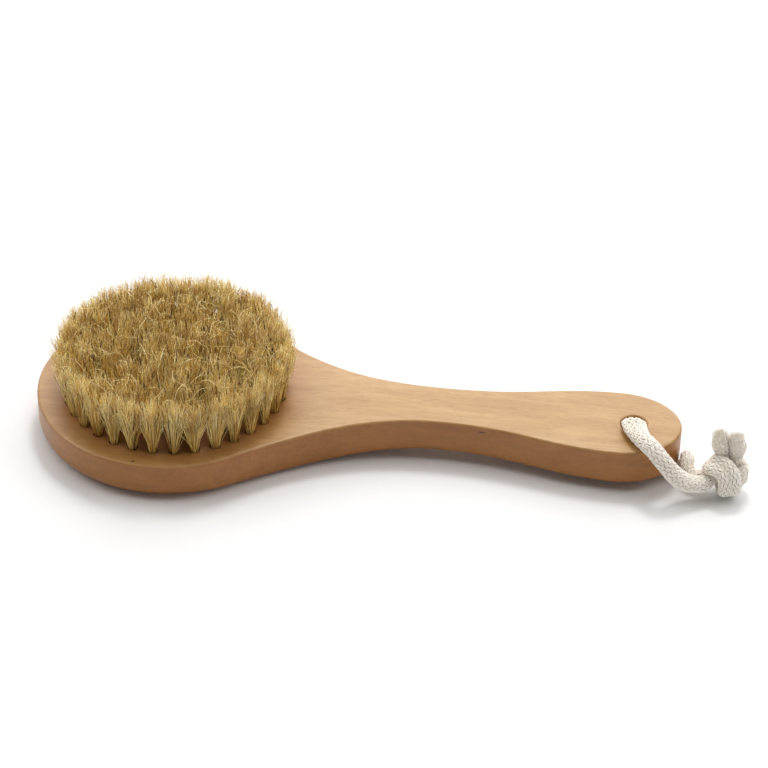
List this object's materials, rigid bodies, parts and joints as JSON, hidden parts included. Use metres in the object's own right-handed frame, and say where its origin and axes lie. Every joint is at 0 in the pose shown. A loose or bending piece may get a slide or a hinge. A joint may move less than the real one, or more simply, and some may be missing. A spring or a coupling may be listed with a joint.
{
  "type": "body dry brush",
  "caption": "Short-handled wooden body dry brush with a round head of stiff bristle tufts and a knotted cotton hanging cord.",
  "frame": {"origin": "centre of the brush's box on the surface it lies on, the hanging cord left out", "axes": "+X along the handle from the head to the hanging hole, +Z out of the bristled face"},
  "size_m": [0.2413, 0.09, 0.0326],
  "materials": {
    "wood": "sanded pale hardwood, lightly waxed",
    "bristle": "stiff natural bristle",
    "cord": "braided undyed cotton"
  },
  "bodies": {
    "brush": {"wooden_body": "wood", "outer_tuft_01": "bristle", "outer_tuft_02": "bristle", "outer_tuft_03": "bristle", "outer_tuft_04": "bristle", "outer_tuft_05": "bristle", "outer_tuft_06": "bristle", "outer_tuft_07": "bristle", "outer_tuft_08": "bristle", "outer_tuft_09": "bristle", "outer_tuft_10": "bristle", "outer_tuft_11": "bristle", "outer_tuft_12": "bristle", "outer_tuft_13": "bristle", "outer_tuft_14": "bristle", "outer_tuft_15": "bristle", "outer_tuft_16": "bristle", "outer_tuft_17": "bristle", "outer_tuft_18": "bristle", "outer_tuft_19": "bristle", "outer_tuft_20": "bristle", "outer_tuft_21": "bristle", "outer_tuft_22": "bristle", "outer_tuft_23": "bristle", "outer_tuft_24": "bristle", "outer_tuft_25": "bristle", "outer_tuft_26": "bristle", "outer_tuft_27": "bristle", "outer_tuft_28": "bristle", "outer_tuft_29": "bristle", "outer_tuft_30": "bristle", "outer_tuft_31": "bristle", "outer_tuft_32": "bristle", "outer_tuft_33": "bristle", "tuft_ring_2": "bristle", "tuft_ring_3": "bristle", "tuft_ring_4": "bristle", "tuft_ring_5": "bristle", "tuft_ring_6": "bristle"},
    "hang_loop": {"cord_upper_strand": "cord", "cord_lower_strand": "cord", "cord_knot": "cord", "cord_tail_left": "cord", "cord_tail_right": "cord"}
  },
  "joints": [
    {"name": "hang_loop_swing", "type": "hinge", "parent": "brush", "child": "hang_loop", "pos_m": [0.093, 0, 0.0097], "axis": [0, 0, 1], "range_deg": [-40, 94]}
  ]
}
